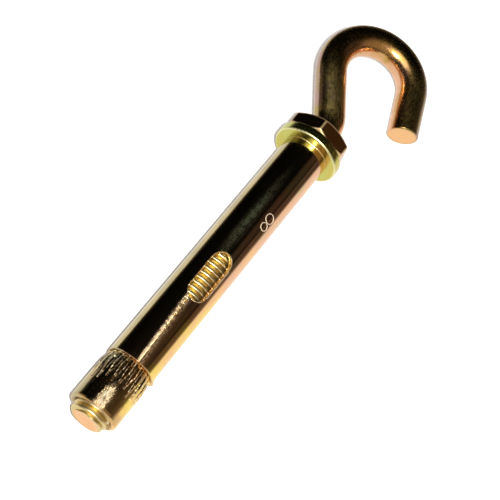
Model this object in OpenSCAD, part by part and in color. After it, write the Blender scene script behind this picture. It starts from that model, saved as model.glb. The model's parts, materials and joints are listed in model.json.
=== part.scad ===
// Hook anchor bolt: a bent hook on a threaded rod, with a nut, a washer,
// a slit expansion sleeve and a ribbed cone nut. It lies as it comes to rest,
// on the washer's rim, the cone nut's rim and the tip of the hook.

/* [Rod] */
// Diameter of the wire that the hook is bent from
rod_d = 5.34; // [4.8:0.02:5.5]
// Outside diameter of the rolled thread
thread_d = 5.9; // [5.6:0.02:6]
// Advance of the thread in one turn
thread_pitch = 1; // [0.75:0.25:1.25]
// How far the rod stands out below the cone nut
rod_below_cone = 1.5; // [0.6:0.1:4]
// Width of the bevel at the rod's threaded end
rod_bevel = 0.5; // [0.2:0.05:0.8]

/* [Hook] */
// Turns that the nut can climb before the thread ends
nut_climb_turns = 1; // [0:0.5:2]
// Radius of the bend at the hook's neck, at the middle of the wire
neck_bend_r = 5.9; // [4.5:0.1:12]
// Angle of the bend at the hook's neck
neck_bend_deg = 33.2; // [24:0.2:40]
// Length of the straight leg between the neck and the bow
leg_l = 8.4; // [4:0.1:12]
// Inside diameter of the bow
bow_inside_d = 9.74; // [8.5:0.02:13]
// Angle of the bow
bow_deg = 191.2; // [180:0.2:204]
// Length of the straight free end
end_l = 7.85; // [5:0.05:9.5]
// How much the wire's radius draws in where it is bent
bend_draw = 0.01; // [0.01:0.01:0.05]

/* [Nut] */
// Width of the nut across its flats
nut_af = 10; // [9.5:0.1:11]
// Height of the nut
nut_h = 3.2; // [2.6:0.1:5]
// Diameter of the nut's round bearing faces
nut_face_d = 9.5; // [8.6:0.1:9.5]
// Slope of the bevels at the nut's corners
nut_bevel_deg = 30; // [15:1:35]
// Turn of a nut corner from the hook's plane
nut_turn = 19; // [0:1:60]

/* [Washer] */
// Outside diameter of the washer
washer_d = 11.6; // [11:0.1:14]
// Thickness of the washer
washer_t = 1.6; // [1:0.1:2]
// Bore of the washer
washer_bore_d = 6.4; // [6.2:0.1:7]
// Bevel at the washer's stamped edges
washer_bevel = 0.2; // [0.05:0.05:0.4]
// Turn of the washer on the rod
washer_turn = 1.35; // [0:0.05:10]

/* [Sleeve] */
// Outside diameter of the sleeve
sleeve_d = 8; // [7.8:0.1:8.4]
// Thickness of the sleeve's sheet
sleeve_wall = 0.8; // [0.6:0.05:0.9]
// Length of the sleeve
sleeve_l = 47.4; // [42:0.2:70]
// Distance from the sleeve's top to the window
window_top = 24.8; // [15:0.2:26]
// Length of the window
window_l = 9.6; // [6:0.2:12]
// Angle of the window around the sleeve
window_deg = 52; // [40:1:70]
// Turn of the window from the hook's plane
window_turn = -83; // [-180:1:180]
// Width of the slit below the window
slit_w = 0.35; // [0.2:0.05:0.8]

/* [Cone nut] */
// Outside diameter of the cone nut
cone_d = 8.1; // [7.9:0.05:8.4]
// Length of the cone nut that shows below the sleeve
cone_shown_l = 9; // [7:0.1:14]
// Length of the taper that shows below the sleeve
taper_shown_l = 2; // [1.2:0.1:3]
// Length of the taper inside the sleeve
taper_hidden_l = 2.8; // [1.5:0.1:4]
// Slope of the taper
taper_deg = 10; // [7:0.5:12]
// Rounding of the cone nut's lower rim
cone_round = 0.5; // [0.2:0.05:0.8]
// Number of ribs around the cone nut
rib_count = 24; // [12:1:32]
// Depth of the grooves between the ribs, where the taper ends
rib_depth = 0.4; // [0.2:0.05:0.5]
// How far the grooves run on below the taper
rib_fade_l = 3.6; // [2:0.1:5]

/* [Fits] */
// Gap around the thread in the nut and the cone nut
thread_gap = 0.05; // [0.02:0.01:0.1]
// Gap between the cone nut's taper and the sleeve's mouth
mouth_gap = 0.05; // [0.02:0.01:0.1]

/* [Hidden] */
$fn = 96;
cut = 1;
lap = 0.2;

rod_r = rod_d / 2;
thread_r = thread_d / 2;
thread_bore_r = thread_r + thread_gap;
washer_r = washer_d / 2;
sleeve_r = sleeve_d / 2;
sleeve_bore_r = sleeve_r - sleeve_wall;
cone_r = cone_d / 2;
bow_r = (bow_inside_d + rod_d) / 2;

// Stations along the axis, from the washer's underside towards the hook
nut_base = washer_t;
nut_top = nut_base + nut_h;
neck = nut_top + nut_climb_turns * thread_pitch;
thread_top = neck - thread_pitch / 2;
sleeve_end = -sleeve_l;
cone_end = sleeve_end - cone_shown_l;
shoulder = sleeve_end - taper_shown_l;
nose = sleeve_end + taper_hidden_l;
rod_end = cone_end - rod_below_cone;

taper_slope = tan(taper_deg);
nose_r = cone_r - (nose - shoulder) * taper_slope;
mouth_r = cone_r - taper_shown_l * taper_slope + mouth_gap;
mouth_l = (mouth_r - sleeve_bore_r) / taper_slope;

// The hook's path in its own plane: [offset towards the tip, station]
function heading(a) = [-sin(a), cos(a)];
tip_deg = neck_bend_deg - bow_deg;
leg_start = [-neck_bend_r * (1 - cos(neck_bend_deg)), neck + neck_bend_r * sin(neck_bend_deg)];
bow_start = leg_start + leg_l * heading(neck_bend_deg);
bow_centre = bow_start + bow_r * [cos(neck_bend_deg), sin(neck_bend_deg)];
end_start = bow_centre - bow_r * [cos(tip_deg), sin(tip_deg)];
tip = end_start + end_l * heading(tip_deg);
tip_way = heading(tip_deg);

// Rest: the axis tilts between the two rims, then the hook rolls until its tip is down
rim_station = cone_end + cone_round;
washer_foot = washer_bevel;
tilt = atan((washer_r - cone_r) / (washer_foot - rim_station));
axis_h = washer_r * cos(tilt) - washer_foot * sin(tilt);
function tip_drop(s) = rod_r * sqrt(1 - pow(tip_way[1] * sin(tilt) - tip_way[0] * s * cos(tilt), 2));
function roll_sine(s, n) =
    n == 0 ? s : roll_sine((axis_h + tip[1] * sin(tilt) - tip_drop(s)) / (tip[0] * cos(tilt)), n - 1);
roll = asin(roll_sine(0.3, 20));

// The box around the lying part, whose middle is the origin
bow_reach = bow_r * sqrt(pow(sin(roll) * sin(tilt), 2) + pow(cos(tilt), 2));
x_high = bow_centre[0] * sin(roll) * sin(tilt) + bow_centre[1] * cos(tilt) + bow_reach + rod_r;
x_low = rod_end * cos(tilt) - (thread_r - rod_bevel) * sin(tilt);
y_high = (bow_r - bow_centre[0]) * cos(roll) + rod_r;
y_low = -tip[0] * cos(roll) - rod_r * sqrt(1 - pow(tip_way[0] * cos(roll), 2));

module lying() {
    translate([-(x_low + x_high) / 2, -(y_low + y_high) / 2, axis_h])
        rotate([0, -tilt, 0]) rotate([roll - 90, 0, 0]) rotate([0, 90, 0]) children();
}

// A straight stretch of wire that laps over the bends beside it, then what follows it
module straight(length, lap_after = lap) {
    translate([0, 0, -lap]) cylinder(h = lap + length + lap_after, r = rod_r);
    translate([0, 0, length]) children();
}

// A bend of the wire towards -X, then what follows it
module bend(radius, angle) {
    translate([-radius, 0, 0]) rotate([90, 0, 0])
        rotate_extrude(angle = angle) translate([radius, 0]) circle(r = rod_r - bend_draw);
    translate([radius * (cos(angle) - 1), 0, radius * sin(angle)]) rotate([0, -angle, 0]) children();
}

module shank() {
    rotate_extrude() polygon([
        [0, rod_end],
        [thread_r - rod_bevel, rod_end],
        [thread_r, rod_end + rod_bevel],
        [thread_r, thread_top],
        [rod_r, neck],
        [rod_r, neck + lap],
        [0, neck + lap]
    ]);
}

module hook_bolt() {
    color("#a8863c") lying() {
        shank();
        translate([0, 0, neck])
            bend(neck_bend_r, neck_bend_deg) straight(leg_l)
                rotate([0, 0, 180]) bend(bow_r, bow_deg) straight(end_l, 0);
    }
}

// Half section of a ring with its four edges bevelled
module ring_section(inner_r, outer_r, height, inner_bevel, outer_bevel, outer_drop) {
    polygon([
        [inner_r + inner_bevel, 0],
        [outer_r - outer_bevel, 0],
        [outer_r, outer_drop],
        [outer_r, height - outer_drop],
        [outer_r - outer_bevel, height],
        [inner_r + inner_bevel, height],
        [inner_r, height - inner_bevel],
        [inner_r, inner_bevel]
    ]);
}

module hex_nut() {
    corner_r = nut_af / 2 / cos(30);
    blank_r = corner_r + lap;
    bevel_w = blank_r - nut_face_d / 2;
    thread_lead = thread_pitch / 3;
    color("#6f5a30") lying() translate([0, 0, nut_base]) intersection() {
        rotate([0, 0, nut_turn]) cylinder(h = nut_h, r = corner_r, $fn = 6);
        rotate_extrude()
            ring_section(thread_bore_r, blank_r, nut_h, thread_lead, bevel_w, bevel_w * tan(nut_bevel_deg));
    }
}

module washer() {
    color("#c9c25f") lying() rotate([0, 0, washer_turn]) rotate_extrude()
        ring_section(washer_bore_d / 2, washer_r, washer_t, washer_bevel, washer_bevel, washer_bevel);
}

// A window whose sides all point at the axis, as in sheet that is punched and then rolled
module window_cut() {
    reach = sleeve_r + cut;
    half_w = reach * tan(window_deg / 2);
    end_half = sleeve_r * tan(window_deg / 2);
    first_end = -window_top - end_half;
    last_end = -window_top - window_l + end_half;
    rotate([0, 0, window_turn]) {
        for (station = [first_end, last_end])
            translate([0, 0, station]) rotate([0, 90, 0]) cylinder(h = reach, r1 = 0, r2 = half_w);
        translate([0, 0, last_end]) linear_extrude(height = first_end - last_end)
            polygon([[0, 0], [reach, -half_w], [reach, half_w]]);
    }
}

module slit_cut() {
    slit_top = -window_top - window_l / 2;
    rotate([0, 0, window_turn]) translate([0, -slit_w / 2, sleeve_end - cut])
        cube([sleeve_r + cut, slit_w, slit_top - sleeve_end + cut]);
}

module sleeve() {
    color("#8a6c34") lying() difference() {
        rotate_extrude() polygon([
            [sleeve_bore_r, 0],
            [sleeve_r, 0],
            [sleeve_r, sleeve_end],
            [mouth_r, sleeve_end],
            [sleeve_bore_r, sleeve_end + mouth_l]
        ]);
        window_cut();
        slit_cut();
    }
}

// One groove between ribs: deepest where the taper ends, fading out below it
module rib_groove() {
    groove_l = nose - shoulder + rib_fade_l;
    groove_slope = atan(rib_depth / rib_fade_l);
    bottom = shoulder - rib_fade_l;
    translate([cone_r, 0, bottom]) rotate([0, -groove_slope, 0]) translate([0, 0, -cut])
        linear_extrude(height = groove_l + 2 * cut) polygon([[0, 0], [cut, cut], [cut, -cut]]);
}

module cone_nut() {
    round_steps = 6;
    rim = [for (i = [0 : round_steps]) let (a = -90 * i / round_steps)
        [cone_r - cone_round + cone_round * cos(a), cone_end + cone_round + cone_round * sin(a)]];
    lead = thread_pitch / 2;
    color("#b88a3e") lying() difference() {
        rotate_extrude() polygon(concat(
            [[thread_bore_r, nose], [nose_r, nose], [cone_r, shoulder]],
            rim,
            [[thread_bore_r + lead, cone_end], [thread_bore_r, cone_end + lead]]
        ));
        for (i = [0 : rib_count - 1])
            rotate([0, 0, i * 360 / rib_count]) rib_groove();
    }
}

hook_bolt();
hex_nut();
washer();
sleeve();
cone_nut();
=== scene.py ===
import json
import math

import bmesh
import bpy
import numpy as np
from mathutils import Matrix, Vector


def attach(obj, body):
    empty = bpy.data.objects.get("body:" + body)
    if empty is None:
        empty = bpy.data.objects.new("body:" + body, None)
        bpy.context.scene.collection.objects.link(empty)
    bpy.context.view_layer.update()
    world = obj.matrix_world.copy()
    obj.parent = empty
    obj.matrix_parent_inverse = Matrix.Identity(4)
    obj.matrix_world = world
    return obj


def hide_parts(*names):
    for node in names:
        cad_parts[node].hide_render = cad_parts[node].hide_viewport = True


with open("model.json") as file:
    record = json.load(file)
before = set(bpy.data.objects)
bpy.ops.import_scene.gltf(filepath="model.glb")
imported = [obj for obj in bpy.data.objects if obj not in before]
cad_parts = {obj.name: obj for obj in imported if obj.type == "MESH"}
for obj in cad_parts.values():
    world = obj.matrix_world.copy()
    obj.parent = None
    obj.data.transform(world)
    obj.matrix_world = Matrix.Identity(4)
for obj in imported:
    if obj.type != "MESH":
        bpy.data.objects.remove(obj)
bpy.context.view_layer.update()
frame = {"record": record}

# Bolt coordinates are in mm: x towards the hook's tip, y across the hook, z along the bolt
# from the washer's underside to the hook. One matrix lays them down in the row frame.
mounts = {mount["name"]: mount for mount in frame["record"]["mounts"]}
seat = Vector(mounts["washer_seat"]["pos_m"])
alongBolt = -Vector(mounts["washer_seat"]["axis"]).normalized()
acrossHook = Vector(mounts["hook_bow"]["axis"]).normalized()
towardsTip = acrossHook.cross(alongBolt)
milli = 0.001
mergeReach = 0.0006  # mm, points this close become one
boltToRow = Matrix([
    [towardsTip[i] * milli, acrossHook[i] * milli, alongBolt[i] * milli, seat[i]] for i in range(3)
] + [[0, 0, 0, 1]])

mathKind, vectorKind, rangeKind = "ShaderNodeMath", "ShaderNodeVectorMath", "ShaderNodeMapRange"


def addNode(tree, kind, settings=None, links=None):
    node = tree.nodes.new(kind)
    for key, value in (settings or {}).items():
        setattr(node, key, value)
    for key, source in (links or {}).items():
        if isinstance(source, bpy.types.NodeSocket):
            tree.links.new(source, node.inputs[key])
        else:
            node.inputs[key].default_value = source
    return node


def linear(hexColour):
    channels = [int(hexColour[i:i + 2], 16) / 255 for i in (1, 3, 5)]
    return [c / 12.92 if c <= 0.04045 else ((c + 0.055) / 1.055) ** 2.4 for c in channels] + [1.0]


def newTree(name, inputs):
    tree = bpy.data.node_groups.new(name, "GeometryNodeTree")
    tree.interface.new_socket("Geometry", in_out="INPUT", socket_type="NodeSocketGeometry")
    for label, kind in inputs:
        tree.interface.new_socket(label, in_out="INPUT", socket_type=kind)
    tree.interface.new_socket("Geometry", in_out="OUTPUT", socket_type="NodeSocketGeometry")
    return tree, tree.nodes.new("NodeGroupInput").outputs, tree.nodes.new("NodeGroupOutput")


# Runs a tree on a mesh of guide points and keeps the result as a plain mesh
def runTree(tree, guide, values):
    holder = bpy.data.objects.new(tree.name, guide)
    bpy.context.scene.collection.objects.link(holder)
    modifier = holder.modifiers.new(tree.name, "NODES")
    modifier.node_group = tree
    for item in tree.interface.items_tree:
        if item.in_out == "INPUT" and item.name in values:
            modifier[item.identifier] = values[item.name]
    graph = bpy.context.evaluated_depsgraph_get()
    mesh = bpy.data.meshes.new_from_object(holder.evaluated_get(graph), depsgraph=graph)
    holder.modifiers.remove(modifier)
    bpy.data.objects.remove(holder)
    return mesh


def applyModifiers(mesh, modifiers):
    holder = bpy.data.objects.new("holder", mesh)
    bpy.context.scene.collection.objects.link(holder)
    for kind, settings in modifiers:
        modifier = holder.modifiers.new(kind, kind)
        for key, value in settings.items():
            setattr(modifier, key, value)
    graph = bpy.context.evaluated_depsgraph_get()
    result = bpy.data.meshes.new_from_object(holder.evaluated_get(graph), depsgraph=graph)
    bpy.data.objects.remove(holder)
    return result


# A closed ring of sections: profileAt(angle) gives the same number of (radius, station)
# points for each angle
def latheMesh(name, angles, profileAt):
    points, faces = [], []
    sections = [profileAt(a) for a in angles]
    count = len(sections[0])
    for a, section in zip(angles, sections):
        points += [(r * math.cos(a), r * math.sin(a), z) for r, z in section]
    for i in range(len(angles)):
        j = (i + 1) % len(angles)
        for k in range(count):
            n = (k + 1) % count
            faces.append((i * count + k, j * count + k, j * count + n, i * count + n))
    mesh = bpy.data.meshes.new(name)
    mesh.from_pydata(points, [], faces)
    return mesh


# A closed mesh of negative volume is inside out
def faceOutward(mesh):
    mesh.calc_loop_triangles()
    places = np.array([v.co for v in mesh.vertices])
    corners = places[np.array([t.vertices for t in mesh.loop_triangles])]
    volume = np.einsum("ij,ij->i", corners[:, 0], np.cross(corners[:, 1], corners[:, 2])).sum() / 6
    if volume < 0:
        mesh.flip_normals()


# Handling rubs the film off raised edges: 1 on points where the surface turns by more
# than the given angle
def edgeWear(mesh, leastDegrees):
    form = bmesh.new()
    form.from_mesh(mesh)
    wear = np.zeros(len(form.verts), np.float32)
    for edge in form.edges:
        if edge.calc_face_angle_signed(0.0) > math.radians(leastDegrees):
            wear[[v.index for v in edge.verts]] = 1
    form.free()
    return wear


def storeMask(mesh, name, values):
    mesh.attributes.new(name, "FLOAT", "POINT").data.foreach_set("value", values.astype(np.float32))


# A soft-edged patch around an angle in degrees and a station in mm, full in its middle
def patchMask(mesh, middle, reach, gain=1.2):
    places = np.array([v.co for v in mesh.vertices])
    aside = (np.degrees(np.arctan2(places[:, 1], places[:, 0])) - middle[0]) / reach[0]
    along = (places[:, 2] - middle[1]) / reach[1]
    return np.clip(gain - gain * np.hypot(aside, along), 0, 1)


# Puts a mesh in bolt coordinates into the row frame and hangs it on its body
def finishPiece(name, mesh, material, body, node, sharpDegrees):
    faceOutward(mesh)
    if "unbent" not in mesh.attributes:
        places = np.zeros(len(mesh.vertices) * 3, np.float32)
        mesh.vertices.foreach_get("co", places)
        mesh.attributes.new("unbent", "FLOAT_VECTOR", "POINT").data.foreach_set("vector", places)
    mesh.transform(boltToRow)
    mesh.shade_smooth()
    mesh.set_sharp_from_angle(angle=math.radians(sharpDegrees))
    mesh.materials.clear()
    mesh.materials.append(material)
    mesh.name = name
    piece = bpy.data.objects.new(name, mesh)
    bpy.context.scene.collection.objects.link(piece)
    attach(piece, body)
    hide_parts(node)
    print(name, "made,", len(mesh.polygons), "faces")


# Grain that all the plated pieces share: sizes in mm, ranges as shares of a noise
zincGrain = {"speckWidth": 0.12, "lineRange": (0.3, 0.7),
             "tornSize": 0.3, "tornStretch": (1.0, 1.0, 0.45), "tornLeast": 0.1}


# Steel with bright zinc plate under a thin yellow chromate film. The film gives peach, gold and
# olive patches, the drawn or stamped steel gives fine lines, and handling gives dull specks.
# Specks and torn film are drawn coarser than real, or they wouldn't show at this size.
def yellowZinc(name, look):
    material = bpy.data.materials.new(name)
    material.use_nodes = True
    tree = material.node_tree
    tree.nodes.clear()
    place = addNode(tree, "ShaderNodeAttribute", {"attribute_name": "unbent"}).outputs["Vector"]
    axes = addNode(tree, "ShaderNodeSeparateXYZ", links={0: place}).outputs

    film = addNode(tree, "ShaderNodeTexNoise", links={
        "Vector": place, "Scale": 1 / look["filmSize"], "Detail": 3.0, "Roughness": 0.55}).outputs[0]
    # The tint leans with the side of the piece, peach and yellow to one side and olive or grey to the other:
    # a painted reflection tint for the floor mirrored at each side
    aside = addNode(tree, mathKind, {"operation": "MULTIPLY_ADD"}, {
        0: axes[0], 1: look["paintedReflectionLean"], 2: film}).outputs[0]
    lean = addNode(tree, mathKind, {"operation": "MULTIPLY_ADD"}, {
        0: axes[2], 1: look["alongLean"], 2: aside}).outputs[0]
    tint = addNode(tree, "ShaderNodeValToRGB", links={0: lean})
    stops = tint.color_ramp.elements
    while len(stops) < len(look["colours"]):
        stops.new(0.5)
    for stop, (position, colour) in zip(stops, look["colours"]):
        stop.position = position
        stop.color = linear(colour)

    stretched = addNode(tree, vectorKind, {"operation": "MULTIPLY"}, {
        0: place, 1: look["lineStretch"]}).outputs[0]
    lines = addNode(tree, "ShaderNodeTexNoise", links={
        "Vector": stretched, "Scale": 1 / look["lineSize"], "Detail": 4.0, "Roughness": 0.6}).outputs[0]
    specks = addNode(tree, "ShaderNodeTexNoise", links={
        "Vector": place, "Scale": 1 / look["speckSize"], "Detail": 2.0, "Roughness": 0.7}).outputs[0]
    dull = addNode(tree, rangeKind, links={
        0: specks, 1: look["speckFrom"], 2: look["speckFrom"] + zincGrain["speckWidth"],
        3: 0.0, 4: look["speckRough"]}).outputs[0]
    base = addNode(tree, rangeKind, links={
        0: lines, 1: zincGrain["lineRange"][0], 2: zincGrain["lineRange"][1],
        3: look["roughness"][0], 4: look["roughness"][1]}).outputs[0]
    rough = addNode(tree, mathKind, {"operation": "ADD"}, {0: base, 1: dull}).outputs[0]
    drawnOut = addNode(tree, vectorKind, {"operation": "MULTIPLY"}, {
        0: place, 1: zincGrain["tornStretch"]}).outputs[0]
    torn = addNode(tree, "ShaderNodeTexNoise", links={
        "Vector": drawnOut, "Scale": 1 / zincGrain["tornSize"], "Detail": 4.0, "Roughness": 0.75}).outputs[0]
    broken = addNode(tree, rangeKind, links={
        0: torn, 1: look["tornFrom"][0], 2: look["tornFrom"][1],
        3: zincGrain["tornLeast"], 4: 1.0}).outputs[0]
    # Places with a film of their own: colour and added roughness under a point attribute
    colour = tint.outputs[0]
    for mask, (ownColour, addedRough) in look["places"].items():
        here = addNode(tree, "ShaderNodeAttribute", {"attribute_name": mask}).outputs["Fac"]
        if mask in ("worn", "dulled"):
            here = addNode(tree, mathKind, {"operation": "MULTIPLY"}, {
                0: here, 1: broken}).outputs[0]
        colour = addNode(tree, "ShaderNodeMix", {"data_type": "RGBA"}, {
            0: here, 6: colour, 7: linear(ownColour)}).outputs[2]
        rough = addNode(tree, mathKind, {"operation": "MULTIPLY_ADD"}, {
            0: here, 1: addedRough, 2: rough}).outputs[0]
    worn = addNode(tree, "ShaderNodeAttribute", {"attribute_name": "worn"}).outputs["Fac"]

    tornRelief = addNode(tree, mathKind, {"operation": "MULTIPLY"}, {0: worn, 1: torn}).outputs[0]
    lineRelief = addNode(tree, mathKind, {"operation": "MULTIPLY"}, {
        0: lines, 1: look["lineHeight"]}).outputs[0]
    height = addNode(tree, mathKind, {"operation": "MULTIPLY_ADD"}, {
        0: tornRelief, 1: look["tornHeight"], 2: lineRelief}).outputs[0]
    bump = addNode(tree, "ShaderNodeBump", links={
        "Strength": 1.0, "Distance": milli, "Height": height}).outputs[0]
    metal = addNode(tree, "ShaderNodeBsdfPrincipled", links={
        "Base Color": colour, "Metallic": 1.0, "Roughness": rough, "Normal": bump})
    addNode(tree, "ShaderNodeOutputMaterial", links={"Surface": metal.outputs[0]})
    return material


# Hook bolt: wire with a rolled thread, bent into the hook. Bends are (radius, degrees), and the
# flank and crest shares run from 0 at the thread's root to 1 at its crest.
hookBolt = {
    "wireRadius": 2.67, "crestRadius": 2.95, "rootRadius": 2.36, "pitch": 1.0,
    "rodEnd": -57.9, "threadTop": 5.3, "neck": 5.8, "endBevel": 0.5, "tipBevel": 0.16,
    "neckBend": (5.9, 33.2), "leg": 8.4, "bow": (7.54, 191.2), "freeEnd": 7.85,
    "flankRange": (0.15, 0.64), "crestEdge": (0.68, 0.08), "cutFrom": 0.9,
    "columns": 48, "turnRows": 14, "leadTurns": 2, "spareRows": 2, "pathStep": 0.5,
    "hookStep": 0.22, "tipStep": 0.03, "tipZone": 0.5, "sharpFrom": 50,
    "dullStations": (6.0, 9.0, 15.0, 20.0, 37.0, 41.0), "dullShares": (0.0, 1.0, 1.0, 0.0, 0.0, 0.5),
    "dullEdge": 2.3,
}


# Middle line of the wire in the hook's plane
def hookPath(size):
    heading, place = 0.0, Vector((0.0, 0.0, size["rodEnd"]))
    path = [place.copy()]
    straight = size["pathStep"]
    stretches = [
        (size["neck"] - size["rodEnd"], 0.0, straight), (*size["neckBend"], None),
        (size["leg"], 0.0, straight), (size["bow"][0], -size["bow"][1], None),
        (size["freeEnd"], 0.0, straight)]
    for reach, turn, spacing in stretches:
        steps = max(2, math.ceil(abs(turn))) if spacing is None else math.ceil(reach / spacing)
        for _ in range(steps):
            half = math.radians(turn) / steps / 2
            step = reach / steps if spacing else 2 * reach * math.sin(abs(half))
            heading += half
            place = place + step * Vector((-math.sin(heading), 0.0, math.cos(heading)))
            heading += half
            path.append(place.copy())
    mesh = bpy.data.meshes.new("hookPath")
    mesh.from_pydata(path, [(i, i + 1) for i in range(len(path) - 1)], [])
    return mesh, sum((b - a).length for a, b in zip(path, path[1:]))


# Rows of a sheared grid follow the helix, so every crest and root is a clean line
def hookTree(size):
    measures = ["Turn Rows", "Pitch", "Thread Length", "Thread Rows", "Hook Step", "Tip Start", "Tip Rows",
                "Tip Step", "Length", "Neck", "Crest Radius", "Root Radius", "Wire Radius", "End Radius",
                "Tip Radius", "Rod End"]
    tree, given, out = newTree("threadedWire", [
        ("Columns", "NodeSocketInt"), ("Rows", "NodeSocketInt"),
        *((label, "NodeSocketFloat") for label in measures), ("Material", "NodeSocketMaterial")])
    path = addNode(tree, "GeometryNodeMeshToCurve", links={0: given["Geometry"]}).outputs[0]
    ringCount = addNode(tree, mathKind, {"operation": "ADD"}, {0: given["Columns"], 1: 1.0}).outputs[0]
    grid = addNode(tree, "GeometryNodeMeshGrid", links={
        "Size X": 1.0, "Size Y": 1.0, "Vertices X": ringCount, "Vertices Y": given["Rows"]}).outputs[0]
    spot = addNode(tree, "ShaderNodeSeparateXYZ", links={
        0: addNode(tree, "GeometryNodeInputPosition").outputs[0]}).outputs
    turn = addNode(tree, mathKind, {"operation": "ADD"}, {0: spot[0], 1: 0.5}).outputs[0]
    share = addNode(tree, mathKind, {"operation": "ADD"}, {0: spot[1], 1: 0.5}).outputs[0]
    lastRow = addNode(tree, mathKind, {"operation": "SUBTRACT"}, {0: given["Rows"], 1: 1.0}).outputs[0]
    lead = addNode(tree, mathKind, {"operation": "MULTIPLY"}, {
        0: given["Turn Rows"], 1: -float(size["leadTurns"])}).outputs[0]
    row = addNode(tree, mathKind, {"operation": "MULTIPLY_ADD"}, {0: share, 1: lastRow, 2: lead}).outputs[0]
    count = addNode(tree, mathKind, {"operation": "MULTIPLY_ADD"}, {
        0: turn, 1: given["Turn Rows"], 2: row}).outputs[0]
    turns = addNode(tree, mathKind, {"operation": "DIVIDE"}, {0: count, 1: given["Turn Rows"]}).outputs[0]
    onThread = addNode(tree, mathKind, {"operation": "MULTIPLY"}, {0: turns, 1: given["Pitch"]}).outputs[0]
    pastThread = addNode(tree, mathKind, {"operation": "SUBTRACT"}, {
        0: count, 1: given["Thread Rows"]}).outputs[0]
    onHook = addNode(tree, mathKind, {"operation": "MULTIPLY_ADD"}, {
        0: pastThread, 1: given["Hook Step"], 2: given["Thread Length"]}).outputs[0]
    pastHook = addNode(tree, mathKind, {"operation": "SUBTRACT"}, {
        0: count, 1: given["Tip Rows"]}).outputs[0]
    onTip = addNode(tree, mathKind, {"operation": "MULTIPLY_ADD"}, {
        0: pastHook, 1: given["Tip Step"], 2: given["Tip Start"]}).outputs[0]
    early = addNode(tree, mathKind, {"operation": "MAXIMUM"}, {0: onThread, 1: onHook}).outputs[0]
    along = addNode(tree, mathKind, {"operation": "MINIMUM"}, {0: early, 1: onTip}).outputs[0]
    kept = addNode(tree, "ShaderNodeClamp", links={0: along, 1: 0.0, 2: given["Length"]}).outputs[0]

    wave = addNode(tree, mathKind, {"operation": "DIVIDE"}, {0: row, 1: given["Turn Rows"]}).outputs[0]
    saw = addNode(tree, mathKind, {"operation": "FRACT"}, {0: wave}).outputs[0]
    ramp = addNode(tree, mathKind, {"operation": "MULTIPLY_ADD"}, {0: saw, 1: 2.0, 2: -1.0}).outputs[0]
    flank = addNode(tree, mathKind, {"operation": "ABSOLUTE"}, {0: ramp}).outputs[0]
    threadRadius = addNode(tree, rangeKind, links={
        0: flank, 1: size["flankRange"][0], 2: size["flankRange"][1],
        3: given["Root Radius"], 4: given["Crest Radius"]}).outputs[0]
    fromEdge = addNode(tree, mathKind, {"operation": "COMPARE"}, {
        0: flank, 1: size["crestEdge"][0], 2: size["crestEdge"][1]}).outputs[0]
    runOut = addNode(tree, rangeKind, links={
        0: kept, 1: given["Thread Length"], 2: given["Neck"], 3: 0.0, 4: 1.0}).outputs[0]
    plain = addNode(tree, "ShaderNodeMix", links={
        0: runOut, 2: threadRadius, 3: given["Wire Radius"]}).outputs[0]
    atEnd = addNode(tree, mathKind, {"operation": "ADD"}, {0: kept, 1: given["End Radius"]}).outputs[0]
    toTip = addNode(tree, mathKind, {"operation": "SUBTRACT"}, {0: given["Length"], 1: kept}).outputs[0]
    atTip = addNode(tree, mathKind, {"operation": "ADD"}, {0: toTip, 1: given["Tip Radius"]}).outputs[0]
    ended = addNode(tree, mathKind, {"operation": "MINIMUM"}, {0: plain, 1: atEnd}).outputs[0]
    tipped = addNode(tree, mathKind, {"operation": "MINIMUM"}, {0: ended, 1: atTip}).outputs[0]
    before = addNode(tree, mathKind, {"operation": "MULTIPLY"}, {0: given["Pitch"], 1: -1.0}).outputs[0]
    endDisc = addNode(tree, rangeKind, links={0: along, 1: before, 2: 0.0, 3: 0.0, 4: 1.0}).outputs[0]
    after = addNode(tree, mathKind, {"operation": "MULTIPLY_ADD"}, {
        0: given["Turn Rows"], 1: given["Tip Step"], 2: given["Length"]}).outputs[0]
    tipDisc = addNode(tree, rangeKind, links={
        0: along, 1: given["Length"], 2: after, 3: 1.0, 4: 0.0}).outputs[0]
    discs = addNode(tree, mathKind, {"operation": "MULTIPLY"}, {0: endDisc, 1: tipDisc}).outputs[0]
    radius = addNode(tree, mathKind, {"operation": "MULTIPLY"}, {0: tipped, 1: discs}).outputs[0]

    angle = addNode(tree, mathKind, {"operation": "MULTIPLY"}, {0: turn, 1: 2 * math.pi}).outputs[0]
    outward = addNode(tree, mathKind, {"operation": "MULTIPLY"}, {
        0: addNode(tree, mathKind, {"operation": "COSINE"}, {0: angle}).outputs[0], 1: radius}).outputs[0]
    sideways = addNode(tree, mathKind, {"operation": "MULTIPLY"}, {
        0: addNode(tree, mathKind, {"operation": "SINE"}, {0: angle}).outputs[0], 1: radius}).outputs[0]
    sample = addNode(tree, "GeometryNodeSampleCurve", {"mode": "LENGTH"}, {
        "Curves": path, "Length": kept}).outputs
    inPlane = addNode(tree, vectorKind, {"operation": "CROSS_PRODUCT"}, {
        0: (0.0, 1.0, 0.0), 1: sample["Tangent"]}).outputs[0]
    reachOut = addNode(tree, vectorKind, {"operation": "SCALE"}, {0: inPlane, "Scale": outward}).outputs[0]
    reachSide = addNode(tree, "ShaderNodeCombineXYZ", links={1: sideways}).outputs[0]
    offset = addNode(tree, vectorKind, {"operation": "ADD"}, {0: reachOut, 1: reachSide}).outputs[0]
    final = addNode(tree, vectorKind, {"operation": "ADD"}, {0: sample["Position"], 1: offset}).outputs[0]
    station = addNode(tree, mathKind, {"operation": "ADD"}, {0: kept, 1: given["Rod End"]}).outputs[0]
    unbent = addNode(tree, "ShaderNodeCombineXYZ", links={0: outward, 1: sideways, 2: station}).outputs[0]

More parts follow.
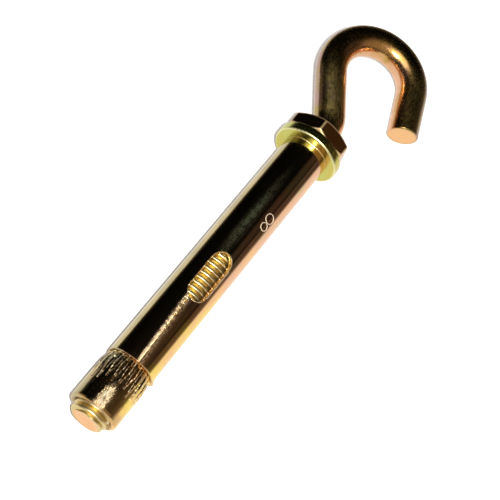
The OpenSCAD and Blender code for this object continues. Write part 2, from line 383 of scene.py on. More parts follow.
    rolled = addNode(tree, mathKind, {"operation": "SUBTRACT"}, {0: 1.0, 1: runOut}).outputs[0]
    onRod = addNode(tree, mathKind, {"operation": "MULTIPLY"}, {0: rolled, 1: endDisc}).outputs[0]
    crestEdge = addNode(tree, mathKind, {"operation": "MULTIPLY"}, {0: fromEdge, 1: onRod}).outputs[0]
    cut = addNode(tree, rangeKind, links={0: discs, 1: size["cutFrom"], 2: 1.0, 3: 1.0, 4: 0.0}).outputs[0]
    marked = grid
    for label, kind, value in (("unbent", "FLOAT_VECTOR", unbent), ("rolled", "FLOAT", rolled),
                               ("cut", "FLOAT", cut), ("worn", "FLOAT", crestEdge)):
        marked = addNode(tree, "GeometryNodeStoreNamedAttribute", {"data_type": kind, "domain": "POINT"}, {
            "Geometry": marked, "Name": label, "Value": value}).outputs[0]
    wrapped = addNode(tree, "GeometryNodeSetPosition", links={
        "Geometry": marked, "Position": final}).outputs[0]
    closed = addNode(tree, "GeometryNodeMergeByDistance", links={
        "Geometry": wrapped, "Distance": mergeReach}).outputs[0]
    real = addNode(tree, "GeometryNodeRealizeInstances", links={0: closed}).outputs[0]
    dressed = addNode(tree, "GeometryNodeSetMaterial", links={
        "Geometry": real, "Material": given["Material"]}).outputs[0]
    tree.links.new(dressed, out.inputs[0])
    return tree


# Drawn wire, bent cold: shallow dents and fine specks break up its shine. Its film noise is its own colour,
# and the tint going from a pinkish grey on the outer side over olive and gold to peach inside the bow is a
# painted reflection tint for the floor mirrored on each side
wireZinc = yellowZinc("yellowPassivatedZincOnDrawnWire", {
    "filmSize": 4.5, "alongLean": 0.0, "paintedReflectionLean": 0.09,
    "colours": [(0.22, "#b8988a"), (0.4, "#b09c5c"), (0.55, "#c49c56"), (0.7, "#dcac7c"), (0.85, "#ecba94")],
    "lineStretch": (1.0, 1.0, 0.4), "lineSize": 1.1, "lineHeight": 0.035, "tornHeight": 0.0,
    "tornFrom": (0.28, 0.64), "speckSize": 0.16, "speckFrom": 0.48, "speckRough": 0.13,
    "roughness": (0.12, 0.18),
    "places": {"dulled": ("#b09c62", 0.3), "rolled": ("#dcc78a", 0.16), "cut": ("#f4c288", 0.1),
               "worn": ("#fff2cc", 0.12)}})
path, pathLength = hookPath(hookBolt)
threadLength = hookBolt["threadTop"] - hookBolt["rodEnd"]
threadRows = threadLength * hookBolt["turnRows"] / hookBolt["pitch"]
tipStart = pathLength - hookBolt["tipZone"]
tipRows = threadRows + (tipStart - threadLength) / hookBolt["hookStep"]
leadRows = (hookBolt["leadTurns"] + 1) * hookBolt["turnRows"]
rows = math.ceil(leadRows + tipRows + hookBolt["tipZone"] / hookBolt["tipStep"]) + hookBolt["spareRows"]
boltMesh = runTree(hookTree(hookBolt), path, {
    "Columns": hookBolt["columns"], "Rows": rows, "Turn Rows": float(hookBolt["turnRows"]),
    "Pitch": hookBolt["pitch"], "Thread Length": threadLength, "Thread Rows": threadRows,
    "Hook Step": hookBolt["hookStep"], "Tip Start": tipStart, "Tip Rows": tipRows,
    "Tip Step": hookBolt["tipStep"], "Length": pathLength, "Neck": hookBolt["neck"] - hookBolt["rodEnd"],
    "Crest Radius": hookBolt["crestRadius"], "Root Radius": hookBolt["rootRadius"],
    "Wire Radius": hookBolt["wireRadius"], "End Radius": hookBolt["crestRadius"] - hookBolt["endBevel"],
    "Tip Radius": hookBolt["wireRadius"] - hookBolt["tipBevel"], "Rod End": hookBolt["rodEnd"],
    "Material": wireZinc})
# Hands and chains dull the straight stretches of the hook more than its bow
unbent = np.zeros(len(boltMesh.vertices) * 3, np.float32)
boltMesh.attributes["unbent"].data.foreach_get("vector", unbent)
acrossWire = np.clip(hookBolt["dullEdge"] - np.abs(unbent[0::3]), 0, 1)
alongWire = np.interp(unbent[2::3], hookBolt["dullStations"], hookBolt["dullShares"])
storeMask(boltMesh, "dulled", acrossWire * alongWire)
finishPiece("hookBolt", boltMesh, wireZinc, "bolt", "hook_bolt", hookBolt["sharpFrom"])


# Thin hexagon nut, pressed and bevelled at both faces
hexNut = {
    "flats": 10.0, "height": 3.2, "base": 1.6, "faceRadius": 4.75, "bevelDegrees": 30.0, "leastDrop": 0.02,
    "turn": 19.0, "boreRadius": 3.0, "lead": 1 / 3, "edge": 0.15, "edgeSegments": 3, "edgeFrom": 20,
    "columns": 120, "wearFrom": 9, "sharpFrom": 35,
}


def nutProfile(angle):
    inFlat = (math.degrees(angle) - hexNut["turn"]) % 60 - 30
    side = hexNut["flats"] / 2 / math.cos(math.radians(inFlat))
    slope = math.tan(math.radians(hexNut["bevelDegrees"]))
    drop = max(hexNut["leastDrop"], (side - hexNut["faceRadius"]) * slope)
    low, high = hexNut["base"], hexNut["base"] + hexNut["height"]
    face, bore, lead = hexNut["faceRadius"], hexNut["boreRadius"], hexNut["lead"]
    rim = 2 * hexNut["edge"]
    return [
        (bore + lead, low), (face - rim, low), (face, low), (side, low + drop), (side, low + drop + rim),
        (side, high - drop - rim), (side, high - drop), (face, high), (face - rim, high),
        (bore + lead, high), (bore, high - lead), (bore, low + lead)]


# Pressed nut: an even brown-gold shine with few specks, and pale edges where the film is rubbed off
nutZinc = yellowZinc("yellowPassivatedZincOnPressedNut", {
    # The nut's tint leans a little to one side too: a painted reflection tint
    "filmSize": 3.0, "alongLean": 0.0, "paintedReflectionLean": 0.04,
    "colours": [(0.25, "#a89468"), (0.45, "#c79a5a"), (0.6, "#c98a50"), (0.8, "#d8a468")],
    "lineStretch": (1.0, 1.0, 1.0), "lineSize": 0.5, "lineHeight": 0.01, "tornHeight": 0.0,
    "tornFrom": (0.2, 0.35), "speckSize": 0.3, "speckFrom": 0.6, "speckRough": 0.08,
    "roughness": (0.16, 0.22),
    "places": {"worn": ("#f8d8a4", 0.36)}})
nutAngles = [math.radians(hexNut["turn"] + i * 360 / hexNut["columns"]) for i in range(hexNut["columns"])]
nutMesh = applyModifiers(latheMesh("hexNut", nutAngles, nutProfile), [("BEVEL", {
    "width": hexNut["edge"], "segments": hexNut["edgeSegments"], "limit_method": "ANGLE",
    "angle_limit": math.radians(hexNut["edgeFrom"])})])
storeMask(nutMesh, "worn", edgeWear(nutMesh, hexNut["wearFrom"]))
finishPiece("hexNut", nutMesh, nutZinc, "nut", "hex_nut", hexNut["sharpFrom"])


# Stamped washer: the die rolls one edge over and shears the other
washer = {"radius": 5.8, "bore": 3.2, "thick": 1.6, "roll": 0.3, "shear": 0.1,
          "columns": 144, "cornerSteps": 5, "wearFrom": 12, "sharpFrom": 40}


def washerProfile(angle):
    low, high, outer, inner = 0.0, washer["thick"], washer["radius"], washer["bore"]
    profile = []
    corners = [(outer, low, washer["roll"], -90), (outer, high, washer["shear"], 0),
               (inner, high, -washer["shear"], 90), (inner, low, -washer["roll"], 180)]
    for r, z, roundness, start in corners:
        size = abs(roundness)
        middleR = r - size if roundness > 0 else r + size
        middleZ = z + size if z == low else z - size
        for step in range(washer["cornerSteps"] + 1):
            turn = math.radians(start + 90 * step / washer["cornerSteps"])
            profile.append((middleR + size * math.cos(turn), middleZ + size * math.sin(turn)))
    return profile


# Stamped washer: a thicker film, so a greenish yellow, and a softer shine than the wire's
washerZinc = yellowZinc("greenishPassivatedZincOnStampedWasher", {
    "filmSize": 4.0, "alongLean": 0.0, "paintedReflectionLean": 0.0,
    "colours": [(0.25, "#bfc472"), (0.45, "#cac869"), (0.6, "#ccc060"), (0.8, "#d6cc78")],
    "lineStretch": (1.0, 1.0, 1.0), "lineSize": 0.6, "lineHeight": 0.008, "tornHeight": 0.0,
    "tornFrom": (0.3, 0.5), "speckSize": 0.3, "speckFrom": 0.6, "speckRough": 0.1, "roughness": (0.18, 0.26),
    "places": {"worn": ("#f4edb6", 0.2)}})
washerAngles = [math.radians(i * 360 / washer["columns"]) for i in range(washer["columns"])]
washerMesh = latheMesh("washer", washerAngles, washerProfile)
faceOutward(washerMesh)
storeMask(washerMesh, "worn", edgeWear(washerMesh, washer["wearFrom"]))
finishPiece("washer", washerMesh, washerZinc, "washer", "washer", washer["sharpFrom"])


# Sleeve: sheet with a punched window, rolled, and slit from the window down
sleeve = {
    "radius": 4.0, "wall": 0.8, "length": 47.4, "mouthRadius": 3.747, "mouthDegrees": 10.0,
    "windowTop": 24.8, "windowLength": 9.6, "windowDegrees": 52.0, "windowTurn": -83.0,
    "slit": 0.22, "slitLean": -9.0, "burr": 0.07, "burrReach": 0.45, "burrShares": (0.5, 0.6), "seed": 7,
    "tearReach": (0.75, 0.9), "tearShares": (1.0, 0.5), "tearGain": 1.4, "tearPast": 0.3,
    "edge": 0.07, "edgeSegments": 2, "edgeFrom": 55, "wearFrom": 15, "sharpFrom": 40,
    "slitColumns": [2.6, 4.2, 6.2, 8.4], "windowColumns": range(24, 91, 6), "besideColumns": 102,
    "rowsAbove": 12, "rowsBeside": 10, "rowsBelow": 60, "rim": 0.15,
    "lipAt": -3.0, "lipDegrees": 13.0, "lipLength": 1.2, "lipOut": 0.4,
    "marks": [(-15.2, -60.5, 0.82), (-16.88, -59.4, 0.68)],  # station, degrees, ring radius
    "markTube": 0.068, "markFlat": 0.8, "markColumns": 40, "markRows": 8,
    "dullAt": (-99.0, -17.0), "dullReach": (18.0, 13.0),
}


# Even steps from start to stop, with one more line close to each end that keeps the bevel's
# shading there
def spread(start, stop, steps, rim):
    way = math.copysign(rim, stop - start)
    inner = [start + way + (stop - start - 2 * way) * i / (steps - 2) for i in range(steps - 1)]
    return [start] + inner + [stop]


def sleeveMesh(size):
    chance = np.random.default_rng(size["seed"])
    half = size["windowDegrees"] / 2
    slitHalf = math.degrees(math.asin(size["slit"] / 2 / size["radius"]))
    inner = [slitHalf] + size["slitColumns"]
    inner += [half * math.sin(math.radians(d)) for d in size["windowColumns"]]
    inside = [-a for a in reversed(inner)] + inner
    rimDegrees = math.degrees(size["rim"] / size["radius"])
    first, last = half + rimDegrees, 360 - half - rimDegrees
    columns = size["besideColumns"]
    angles = inside + [first + (last - first) * i / columns for i in range(columns + 1)]
    endHalf = size["radius"] * math.tan(math.radians(half))
    topMiddle = -size["windowTop"] - endHalf
    lowMiddle = -size["windowTop"] - size["windowLength"] + endHalf
    bottom, bore = -size["length"], size["radius"] - size["wall"]
    above, besideRows, below = size["rowsAbove"], size["rowsBeside"], size["rowsBelow"]
    # The two sides of the slit follow one ragged line, a little apart
    farShift, spareDraws = 2, 5
    ragged = np.convolve(chance.normal(size=below + spareDraws), np.ones(3) / 3, "same")
    burrLeast, burrMore = size["burrShares"]
    slope = math.tan(math.radians(size["mouthDegrees"]))
    outerPoints, innerPoints, number = [], [], {}
    for c, degrees in enumerate(angles):
        local = math.radians(degrees)
        inWindow = c < len(inside)
        onSide = c in (0, len(inside) - 1)
        # The slit was cut a little askew: it leans out of the middle as it comes up to the window
        lean = size["slitLean"] * max(0.0, 1 - abs(degrees) / half)
        bulges = []
        for turned in (local, local + math.radians(lean)):
            room = (math.cos(turned) * math.tan(math.radians(half))) ** 2 - math.sin(turned) ** 2
            bulges.append(size["radius"] * math.sqrt(max(0.0, room)) if inWindow else 0.0)
        stations = spread(0, topMiddle + bulges[0], above, size["rim"])
        stations += [topMiddle + (lowMiddle - topMiddle) * i / besideRows for i in range(1, besideRows)]
        stations += spread(lowMiddle - bulges[1], bottom, below, size["rim"])
        arc = abs(math.radians(degrees if degrees < 180 else degrees - 360)) * size["radius"]
        nearSlit = max(0.0, 1 - (arc - size["slit"] / 2) / size["burrReach"])
        for r, z in enumerate(stations):
            if inWindow and not onSide and above < r < above + besideRows:
                continue
            lift = 0.0
            turn = local + math.radians(size["windowTurn"])
            if r >= above + besideRows:
                k = r - above - besideRows
                jag = abs(ragged[k + (farShift if degrees < 90 else 0)])
                lift = size["burr"] * nearSlit * (burrLeast + burrMore * jag)
                turn += math.radians(lean) * (1 - k / below)
            offLip = (degrees + size["windowTurn"] - size["lipAt"] + 180) % 360 - 180
            upLip = max(0.0, 1 - (z - bottom) / size["lipLength"])
            bend = upLip ** 2 * max(0.0, 1 - abs(offLip) / size["lipDegrees"])
            lift += size["lipOut"] * bend
            for store, radius in ((outerPoints, size["radius"] + lift),
                                  (innerPoints, max(bore, size["mouthRadius"] - (z - bottom) * slope))):
                store.append((radius * math.cos(turn), radius * math.sin(turn), z))
            number[c, r] = len(outerPoints) - 1
    faces = []
    total = above + besideRows + below
    slitColumn = len(inner) - 1
    for c in range(len(angles)):
        d = (c + 1) % len(angles)
        for r in range(total):
            if c == slitColumn and r >= above + besideRows:
                continue
            corners = [(c, r), (c, r + 1), (d, r + 1), (d, r)]
            if all(k in number for k in corners) and not (c == len(inside) - 1 and d == 0):
                faces.append([number[k] for k in corners])
    walls = {(face[i], face[(i + 1) % 4]) for face in faces for i in range(4)}
    shift = len(outerPoints)
    innerFaces = [[shift + k for k in reversed(face)] for face in faces]
    rims = [(b, a, a + shift, b + shift) for a, b in walls if (b, a) not in walls]
    mesh = bpy.data.meshes.new("sleeve")
    mesh.from_pydata(outerPoints + innerPoints, [], faces + innerFaces + sorted(rims))
    return mesh


# The plain size mark 8: two rings raised on the sheet, each a thin closed ridge
def addMarkRings(mesh, size):
    form = bmesh.new()
    form.from_mesh(mesh)
    aroundCount, tubeCount = size["markColumns"], size["markRows"]
    for station, degrees, ring in size["marks"]:
        rows = []
        for i in range(aroundCount):
            way = 2 * math.pi * i / aroundCount
            row = []
            for k in range(tubeCount):
                tube = 2 * math.pi * k / tubeCount
                reach = ring + size["markTube"] * math.cos(tube)
                height = size["radius"] + size["markTube"] * math.sin(tube) * size["markFlat"]
                turn = math.radians(degrees) + reach * math.cos(way) / size["radius"]
                row.append(form.verts.new((height * math.cos(turn), height * math.sin(turn),
                                           station + reach * math.sin(way))))
            rows.append(row)
        for i in range(aroundCount):
            j = (i + 1) % aroundCount
            for k in range(tubeCount):
                n = (k + 1) % tubeCount
                form.faces.new((rows[i][k], rows[j][k], rows[j][n], rows[i][n]))
    form.to_mesh(mesh)
    form.free()


# The sheet is torn along the slit, more on the side away from the hook's tip
def slitWear(mesh, size):
    places = np.array([v.co for v in mesh.vertices])
    top, bottom = -size["windowTop"] - size["windowLength"], -size["length"]
    lean = math.radians(size["slitLean"]) * np.clip((places[:, 2] - bottom) / (top - bottom), 0, 1)
    turn = np.arctan2(places[:, 1], places[:, 0]) - math.radians(size["windowTurn"]) - lean
    arc = ((turn + math.pi) % (2 * math.pi) - math.pi) * size["radius"]
    reach = np.where(arc < 0, *size["tearReach"])
    share = np.where(arc < 0, *size["tearShares"])
    gain = size["tearGain"]
    near = np.clip(gain - gain * (np.abs(arc) - size["slit"] / 2) / reach, 0, 1) * share
    near[places[:, 2] > top + size["tearPast"]] = 0
    # The outer edges of the window and the ends are rubbed bright too
    outside = np.hypot(places[:, 0], places[:, 1]) > size["radius"] - 2 * size["edge"]
    return np.maximum(near, edgeWear(mesh, size["wearFrom"]) * outside)


# Rolled sheet: the smoothest piece, so it mirrors floor and room in long strips, with faint lines
# along it, a dull greenish band and bright torn edges at the slit
# Its tint leans to peach and yellow on one side and olive on the other: a painted reflection tint for the
# floor mirrored there
sheetZinc = yellowZinc("yellowPassivatedZincOnRolledSheet", {
    "filmSize": 7.0, "alongLean": -0.005, "paintedReflectionLean": 0.06,
    "colours": [(0.3, "#b9ac80"), (0.5, "#cfbd8c"), (0.7, "#eab994"), (0.85, "#f2c088"), (0.98, "#f4d472")],
    "lineStretch": (1.0, 1.0, 0.05), "lineSize": 0.3, "lineHeight": 0.006, "tornHeight": 0.16,
    "tornFrom": (0.34, 0.52), "speckSize": 0.2, "speckFrom": 0.58, "speckRough": 0.08,
    "roughness": (0.1, 0.15),
    "places": {"dulled": ("#97a27c", 0.24), "worn": ("#f6dcae", 0.34), "scribed": ("#fff2dc", 0.6)}})
tubeMesh = applyModifiers(sleeveMesh(sleeve), [("BEVEL", {
    "width": sleeve["edge"], "segments": sleeve["edgeSegments"], "limit_method": "ANGLE",
    "angle_limit": math.radians(sleeve["edgeFrom"])})])
tubeWear = slitWear(tubeMesh, sleeve)
addMarkRings(tubeMesh, sleeve)
ringPoints = len(tubeMesh.vertices) - len(tubeWear)
storeMask(tubeMesh, "worn", np.pad(tubeWear, (0, ringPoints)))
storeMask(tubeMesh, "scribed", np.pad(np.zeros(len(tubeWear)), (0, ringPoints), constant_values=1))
storeMask(tubeMesh, "dulled", patchMask(tubeMesh, sleeve["dullAt"], sleeve["dullReach"]))
finishPiece("sleeve", tubeMesh, sheetZinc, "sleeve", "sleeve", sleeve["sharpFrom"])


# Cone nut: turned, with ribs pressed into the taper that fade out unevenly below it
coneNut = {
    "radius": 4.05, "boreRadius": 3.0, "nose": -44.6, "shoulder": -49.4, "end": -56.4, "noseRadius": 3.204,
    "round": 0.5, "lead": 0.5, "mouthBevel": (0.1, 0.15), "noseBevel": 0.05,
    "ribs": 24, "ribDepth": 0.32, "ribFade": (2.0, 4.2), "seed": 5,
    "columnsPerRib": 12, "taperRows": 28, "straightRows": 40, "roundRows": 8,
    "scuffAt": (-93.5, -54.9), "scuffReach": (19.0, 3.6), "ribWear": 0.7, "wearFrom": 14, "sharpFrom": 45,
}


def conePoints(size):
    bore, nose, end, noseRadius = size["boreRadius"], size["nose"], size["end"], size["noseRadius"]
    radius, shoulder, corner = size["radius"], size["shoulder"], size["round"]
    mouthOut, mouthDown = size["mouthBevel"]
    bevel = size["noseBevel"]
    points = [(bore, end + size["lead"]), (bore, nose - mouthDown), (bore + mouthOut, nose),
              (noseRadius - bevel, nose), (noseRadius, nose - bevel)]
    for i in range(1, size["taperRows"] + 1):
        share = i / size["taperRows"]
        points.append((noseRadius + (radius - noseRadius) * share, nose + (shoulder - nose) * share))
    straight, rim = size["straightRows"], end + corner
    points += [(radius, shoulder + (rim - shoulder) * i / straight) for i in range(1, straight + 1)]
    for i in range(1, size["roundRows"] + 1):
        turn = math.radians(90 * i / size["roundRows"])
        points.append((radius - corner * (1 - math.cos(turn)), rim - corner * math.sin(turn)))
    points.append((bore + size["lead"], end))
    return points


# A grid is turned round the axis on the section's points, and each rib groove is cut into it
def ribTree():
    tree, given, out = newTree("ribbedCone", [
        ("Columns", "NodeSocketInt"), ("Points", "NodeSocketInt"), ("Ribs", "NodeSocketFloat"),
        ("Radius", "NodeSocketFloat"), ("Shoulder", "NodeSocketFloat"), ("Rib Depth", "NodeSocketFloat"),
        ("Fade Least", "NodeSocketFloat"), ("Fade Most", "NodeSocketFloat"), ("Seed", "NodeSocketInt"),
        ("Material", "NodeSocketMaterial")])
    across = addNode(tree, mathKind, {"operation": "ADD"}, {0: given["Columns"], 1: 1.0}).outputs[0]
    down = addNode(tree, mathKind, {"operation": "ADD"}, {0: given["Points"], 1: 1.0}).outputs[0]
    grid = addNode(tree, "GeometryNodeMeshGrid", links={
        "Size X": 1.0, "Size Y": 1.0, "Vertices X": across, "Vertices Y": down}).outputs[0]
    spot = addNode(tree, "ShaderNodeSeparateXYZ", links={
        0: addNode(tree, "GeometryNodeInputPosition").outputs[0]}).outputs
    turn = addNode(tree, mathKind, {"operation": "ADD"}, {0: spot[0], 1: 0.5}).outputs[0]
    share = addNode(tree, mathKind, {"operation": "ADD"}, {0: spot[1], 1: 0.5}).outputs[0]
    rowFloat = addNode(tree, mathKind, {"operation": "MULTIPLY"}, {0: share, 1: given["Points"]}).outputs[0]
    row = addNode(tree, mathKind, {"operation": "ROUND"}, {0: rowFloat}).outputs[0]
    wrapped = addNode(tree, mathKind, {"operation": "MODULO"}, {0: row, 1: given["Points"]}).outputs[0]
    section = addNode(tree, "GeometryNodeSampleIndex", {"data_type": "FLOAT_VECTOR", "domain": "POINT"}, {
        "Geometry": given["Geometry"], "Value": addNode(tree, "GeometryNodeInputPosition").outputs[0],
        "Index": wrapped}).outputs[0]
    parts = addNode(tree, "ShaderNodeSeparateXYZ", links={0: section}).outputs

    ribTurn = addNode(tree, mathKind, {"operation": "MULTIPLY"}, {0: turn, 1: given["Ribs"]}).outputs[0]
    nearest = addNode(tree, mathKind, {"operation": "ROUND"}, {0: ribTurn}).outputs[0]
    ribNumber = addNode(tree, mathKind, {"operation": "MODULO"}, {0: nearest, 1: given["Ribs"]}).outputs[0]
    away = addNode(tree, mathKind, {"operation": "SUBTRACT"}, {0: ribTurn, 1: nearest}).outputs[0]
    aside = addNode(tree, mathKind, {"operation": "ABSOLUTE"}, {0: away}).outputs[0]
    girth = addNode(tree, mathKind, {"operation": "MULTIPLY"}, {
        0: given["Radius"], 1: 2 * math.pi}).outputs[0]
    ribWidth = addNode(tree, mathKind, {"operation": "DIVIDE"}, {0: girth, 1: given["Ribs"]}).outputs[0]
    flank = addNode(tree, mathKind, {"operation": "MULTIPLY"}, {0: aside, 1: ribWidth}).outputs[0]
    fade = addNode(tree, "FunctionNodeRandomValue", {"data_type": "FLOAT"}, {
        2: given["Fade Least"], 3: given["Fade Most"], "ID": ribNumber, "Seed": given["Seed"]}).outputs[1]
    foot = addNode(tree, mathKind, {"operation": "SUBTRACT"}, {0: given["Shoulder"], 1: fade}).outputs[0]
    rise = addNode(tree, mathKind, {"operation": "SUBTRACT"}, {0: parts[2], 1: foot}).outputs[0]
    slope = addNode(tree, mathKind, {"operation": "DIVIDE"}, {0: given["Rib Depth"], 1: fade}).outputs[0]
    deep = addNode(tree, mathKind, {"operation": "MULTIPLY"}, {0: rise, 1: slope}).outputs[0]
    root = addNode(tree, mathKind, {"operation": "SUBTRACT"}, {0: given["Radius"], 1: deep}).outputs[0]
    groove = addNode(tree, mathKind, {"operation": "ADD"}, {0: root, 1: flank}).outputs[0]
    radius = addNode(tree, mathKind, {"operation": "MINIMUM"}, {0: parts[0], 1: groove}).outputs[0]

    angle = addNode(tree, mathKind, {"operation": "MULTIPLY"}, {0: turn, 1: 2 * math.pi}).outputs[0]
    x = addNode(tree, mathKind, {"operation": "MULTIPLY"}, {
        0: addNode(tree, mathKind, {"operation": "COSINE"}, {0: angle}).outputs[0], 1: radius}).outputs[0]
    y = addNode(tree, mathKind, {"operation": "MULTIPLY"}, {
        0: addNode(tree, mathKind, {"operation": "SINE"}, {0: angle}).outputs[0], 1: radius}).outputs[0]
    place = addNode(tree, "ShaderNodeCombineXYZ", links={0: x, 1: y, 2: parts[2]}).outputs[0]
    turned = addNode(tree, "GeometryNodeSetPosition", links={"Geometry": grid, "Position": place}).outputs[0]
    closed = addNode(tree, "GeometryNodeMergeByDistance", links={
        "Geometry": turned, "Distance": mergeReach}).outputs[0]
    real = addNode(tree, "GeometryNodeRealizeInstances", links={0: closed}).outputs[0]
    dressed = addNode(tree, "GeometryNodeSetMaterial", links={
        "Geometry": real, "Material": given["Material"]}).outputs[0]
    tree.links.new(dressed, out.inputs[0])
    return tree


# Turned and ribbed cone: fine lines along the ribs, a film tint that turns yellow to one side as a painted
# reflection of the floor there, and a pale rough scuff where the film is gone
coneZinc = yellowZinc("yellowPassivatedZincOnTurnedCone", {
    "filmSize": 4.0, "alongLean": 0.0, "paintedReflectionLean": 0.05,
    "colours": [
        (0.22, "#bcae82"), (0.42, "#c8a872"), (0.58, "#dcb070"), (0.72, "#f0cc74"), (0.84, "#f8e06e")],
    "lineStretch": (1.0, 1.0, 0.1), "lineSize": 0.3, "lineHeight": 0.03, "tornHeight": 0.3,
    "tornFrom": (0.4, 0.62), "speckSize": 0.2, "speckFrom": 0.54, "speckRough": 0.12,
    "roughness": (0.1, 0.18),
    "places": {"worn": ("#f4ecd8", 0.38)}})
coneSection = [(r, 0.0, z) for r, z in conePoints(coneNut)]
sectionMesh = bpy.data.meshes.new("coneSection")
sectionMesh.from_pydata(coneSection, [], [])
coneMesh = runTree(ribTree(), sectionMesh, {
    "Columns": coneNut["ribs"] * coneNut["columnsPerRib"], "Points": len(coneSection),
    "Ribs": float(coneNut["ribs"]), "Radius": coneNut["radius"], "Shoulder": coneNut["shoulder"],
    "Rib Depth": coneNut["ribDepth"], "Fade Least": coneNut["ribFade"][0],
    "Fade Most": coneNut["ribFade"][1], "Seed": coneNut["seed"], "Material": coneZinc})
faceOutward(coneMesh)
# The ribs are rubbed along their tops, and one side is scuffed where the anchor was handled
ribWear = coneNut["ribWear"] * edgeWear(coneMesh, coneNut["wearFrom"])
scuff = patchMask(coneMesh, coneNut["scuffAt"], coneNut["scuffReach"])
storeMask(coneMesh, "worn", np.maximum(ribWear, scuff))
finishPiece("coneNut", coneMesh, coneZinc, "expander", "cone_nut", coneNut["sharpFrom"])


# Camera as in the photo: place in mm, then its right and up directions
view = {"place": (-105.8093, -50.3353, 173.9046), "right": (0.556214, -0.8265, 0.086739),
        "up": (0.669765, 0.507614, 0.54198), "lens": 93.668, "sensor": 36.0, "clipStart": 0.001}
cameraData = bpy.data.cameras.new("camera")
cameraData.lens = view["lens"]
cameraData.sensor_width = view["sensor"]
cameraData.clip_start = view["clipStart"]
camera = bpy.data.objects.new("camera", cameraData)
right = Vector(view["right"]).normalized()
up = (Vector(view["up"]) - Vector(view["up"]).dot(right) * right).normalized()
back = right.cross(up)
camera.matrix_world = Matrix([
    [right[i], up[i], back[i], view["place"][i] * milli] for i in range(3)] + [[0, 0, 0, 1]])
bpy.context.scene.collection.objects.link(camera)
bpy.context.scene.camera = camera
print("camera placed")


# Stage: white paper in a dark room with four soft glows, and a lamp beside the lens, with lengths in m. To
# the metal the paper glows only in a painted pool of light, past paperFrom, across, and short of paperTo,
# along.
stage = {
    "floorReach": 3.0, "floorColour": "#f4f4f4", "paintedShadeColour": "#4a4038",
    "cameraLift": (0.02, 0.8), "liftReach": (0.1, 0.24),
    "paintedPoolLift": (0.05, 1.05), "paperFrom": (-0.028, -0.014), "paperTo": (0.035, 0.08),
    "paperSlant": (1.0, -0.5, 0.0),
    "lampAside": (0.009, 0.0, 0.004), "lampSize": 0.006, "lampWatts": 0.55,
    "roomLow": "#7c6a5e", "roomHigh": "#060606", "roomRise": 0.17,
    "glows": [  # way to the middle, cosine at the edge, colour, strength
        ((-0.546, -0.779, 0.309), 0.5, "#a4927c", 1.0),  # low on the right, wide
        ((0.55, -0.73, 0.407), 0.955, "#40362e", 1.0),  # on the right, small and dim
        ((-0.447, 0.877, 0.174), 0.88, "#b0a090", 1.0),  # low on the left
        ((-0.42, -0.13, 0.898), 0.88, "#fffaf0", 2.0)],  # above the lens, for the bow's highlight
}
floorMesh = bpy.data.meshes.new("floor")
reach = stage["floorReach"]
floorMesh.from_pydata([(-reach, -reach, 0), (reach, -reach, 0), (reach, reach, 0), (-reach, reach, 0)], [],
                      [(0, 1, 2, 3)])
floor = bpy.data.objects.new("floor", floorMesh)
bpy.context.scene.collection.objects.link(floor)
# Matte white paper: even and white to the eye. To the metal it is a darker copy in painted shade, with a
# painted pool of light that shows in the metal as a white strip ending near the object
floorPaint = bpy.data.materials.new("whitePaperWithPaintedPool")
floorPaint.use_nodes = True
tree = floorPaint.node_tree
tree.nodes.clear()
rays = addNode(tree, "ShaderNodeLightPath").outputs
# The metal sees the paper in painted shade: a dark brown copy of its white
paper = addNode(tree, "ShaderNodeMix", {"data_type": "RGBA"}, {
    0: rays["Is Camera Ray"], 6: linear(stage["paintedShadeColour"]), 7: linear(stage["floorColour"])}).outputs[2]
matte = addNode(tree, "ShaderNodeBsdfDiffuse", links={"Color": paper})
# Painted pool of light: the paper glows for the metal's reflections only, in a strip beside the object
fromMetal = addNode(tree, mathKind, {"operation": "MAXIMUM"}, {
    0: rays["Is Glossy Ray"], 1: rays["Is Transmission Ray"]}).outputs[0]
floorPlace = addNode(tree, "ShaderNodeTexCoord").outputs["Object"]
beside = addNode(tree, "ShaderNodeSeparateXYZ", links={0: floorPlace}).outputs[1]
poolAcross = addNode(tree, rangeKind, {"interpolation_type": "SMOOTHSTEP"}, {
    0: beside, 1: stage["paperFrom"][0], 2: stage["paperFrom"][1],
    3: stage["paintedPoolLift"][0], 4: stage["paintedPoolLift"][1]}).outputs[0]
ahead = addNode(tree, vectorKind, {"operation": "DOT_PRODUCT"}, {
    0: floorPlace, 1: stage["paperSlant"]}).outputs["Value"]
short = addNode(tree, rangeKind, {"interpolation_type": "SMOOTHSTEP"}, {
    0: ahead, 1: stage["paperTo"][0], 2: stage["paperTo"][1], 3: 1.0, 4: 0.0}).outputs[0]
seen = addNode(tree, mathKind, {"operation": "MULTIPLY"}, {0: poolAcross, 1: short}).outputs[0]
paintedPoolGlow = addNode(tree, mathKind, {"operation": "MULTIPLY"}, {0: fromMetal, 1: seen}).outputs[0]
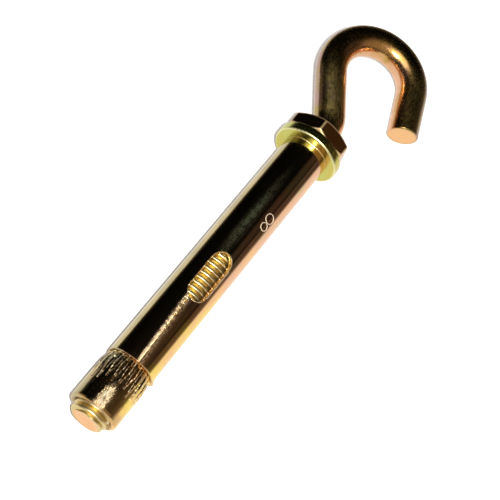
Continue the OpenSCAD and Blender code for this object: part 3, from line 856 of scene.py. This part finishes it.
# The lamp alone makes the paper white near the lens, and further off its own glow keeps it white
lensFoot = (camera.location[0], camera.location[1], 0.0)
fromFoot = addNode(tree, vectorKind, {"operation": "DISTANCE"}, {
    0: floorPlace, 1: lensFoot}).outputs["Value"]
fill = addNode(tree, rangeKind, links={
    0: fromFoot, 1: stage["liftReach"][0], 2: stage["liftReach"][1],
    3: stage["cameraLift"][0], 4: stage["cameraLift"][1]}).outputs[0]
lift = addNode(tree, mathKind, {"operation": "MULTIPLY_ADD"}, {
    0: rays["Is Camera Ray"], 1: fill, 2: paintedPoolGlow}).outputs[0]
glow = addNode(tree, "ShaderNodeEmission", links={"Color": linear(stage["floorColour"]), "Strength": lift})
both = addNode(tree, "ShaderNodeAddShader", links={0: matte.outputs[0], 1: glow.outputs[0]})
addNode(tree, "ShaderNodeOutputMaterial", links={"Surface": both.outputs[0]})
floorMesh.materials.append(floorPaint)

room = bpy.data.worlds.new("darkRoom")
room.use_nodes = True
tree = room.node_tree
tree.nodes.clear()
direction = addNode(tree, "ShaderNodeTexCoord").outputs["Generated"]
height = addNode(tree, "ShaderNodeSeparateXYZ", links={0: direction}).outputs[2]
rise = addNode(tree, rangeKind, links={
    0: height, 1: 0.0, 2: stage["roomRise"], 3: 0.0, 4: 1.0}).outputs[0]
shade = addNode(tree, "ShaderNodeMix", {"data_type": "RGBA"}, {
    0: rise, 6: linear(stage["roomLow"]), 7: linear(stage["roomHigh"])}).outputs[2]
for middle, edge, colour, power in stage["glows"]:
    nearness = addNode(tree, vectorKind, {"operation": "DOT_PRODUCT"}, {
        0: direction, 1: middle}).outputs["Value"]
    warm = addNode(tree, rangeKind, {"interpolation_type": "SMOOTHSTEP"}, {
        0: nearness, 1: edge, 2: 1.0, 3: 0.0, 4: 1.0}).outputs[0]
    shade = addNode(tree, "ShaderNodeMix", {"data_type": "RGBA"}, {
        0: warm, 6: shade, 7: [c * power for c in linear(colour)]}).outputs[2]
sky = addNode(tree, "ShaderNodeBackground", links={"Color": shade})
addNode(tree, "ShaderNodeOutputWorld", links={"Surface": sky.outputs[0]})
bpy.context.scene.world = room

# A lamp beside the lens leaves flat faces and round bars dark, and makes edges and threads shine
lampData = bpy.data.lights.new("lamp", "AREA")
lampData.shape = "DISK"
lampData.size = stage["lampSize"]
lampData.energy = stage["lampWatts"]
lamp = bpy.data.objects.new("lamp", lampData)
lamp.matrix_world = camera.matrix_world @ Matrix.Translation(Vector(stage["lampAside"]))
bpy.context.scene.collection.objects.link(lamp)
bpy.context.scene.view_settings.view_transform = "Standard"
print("stage set")
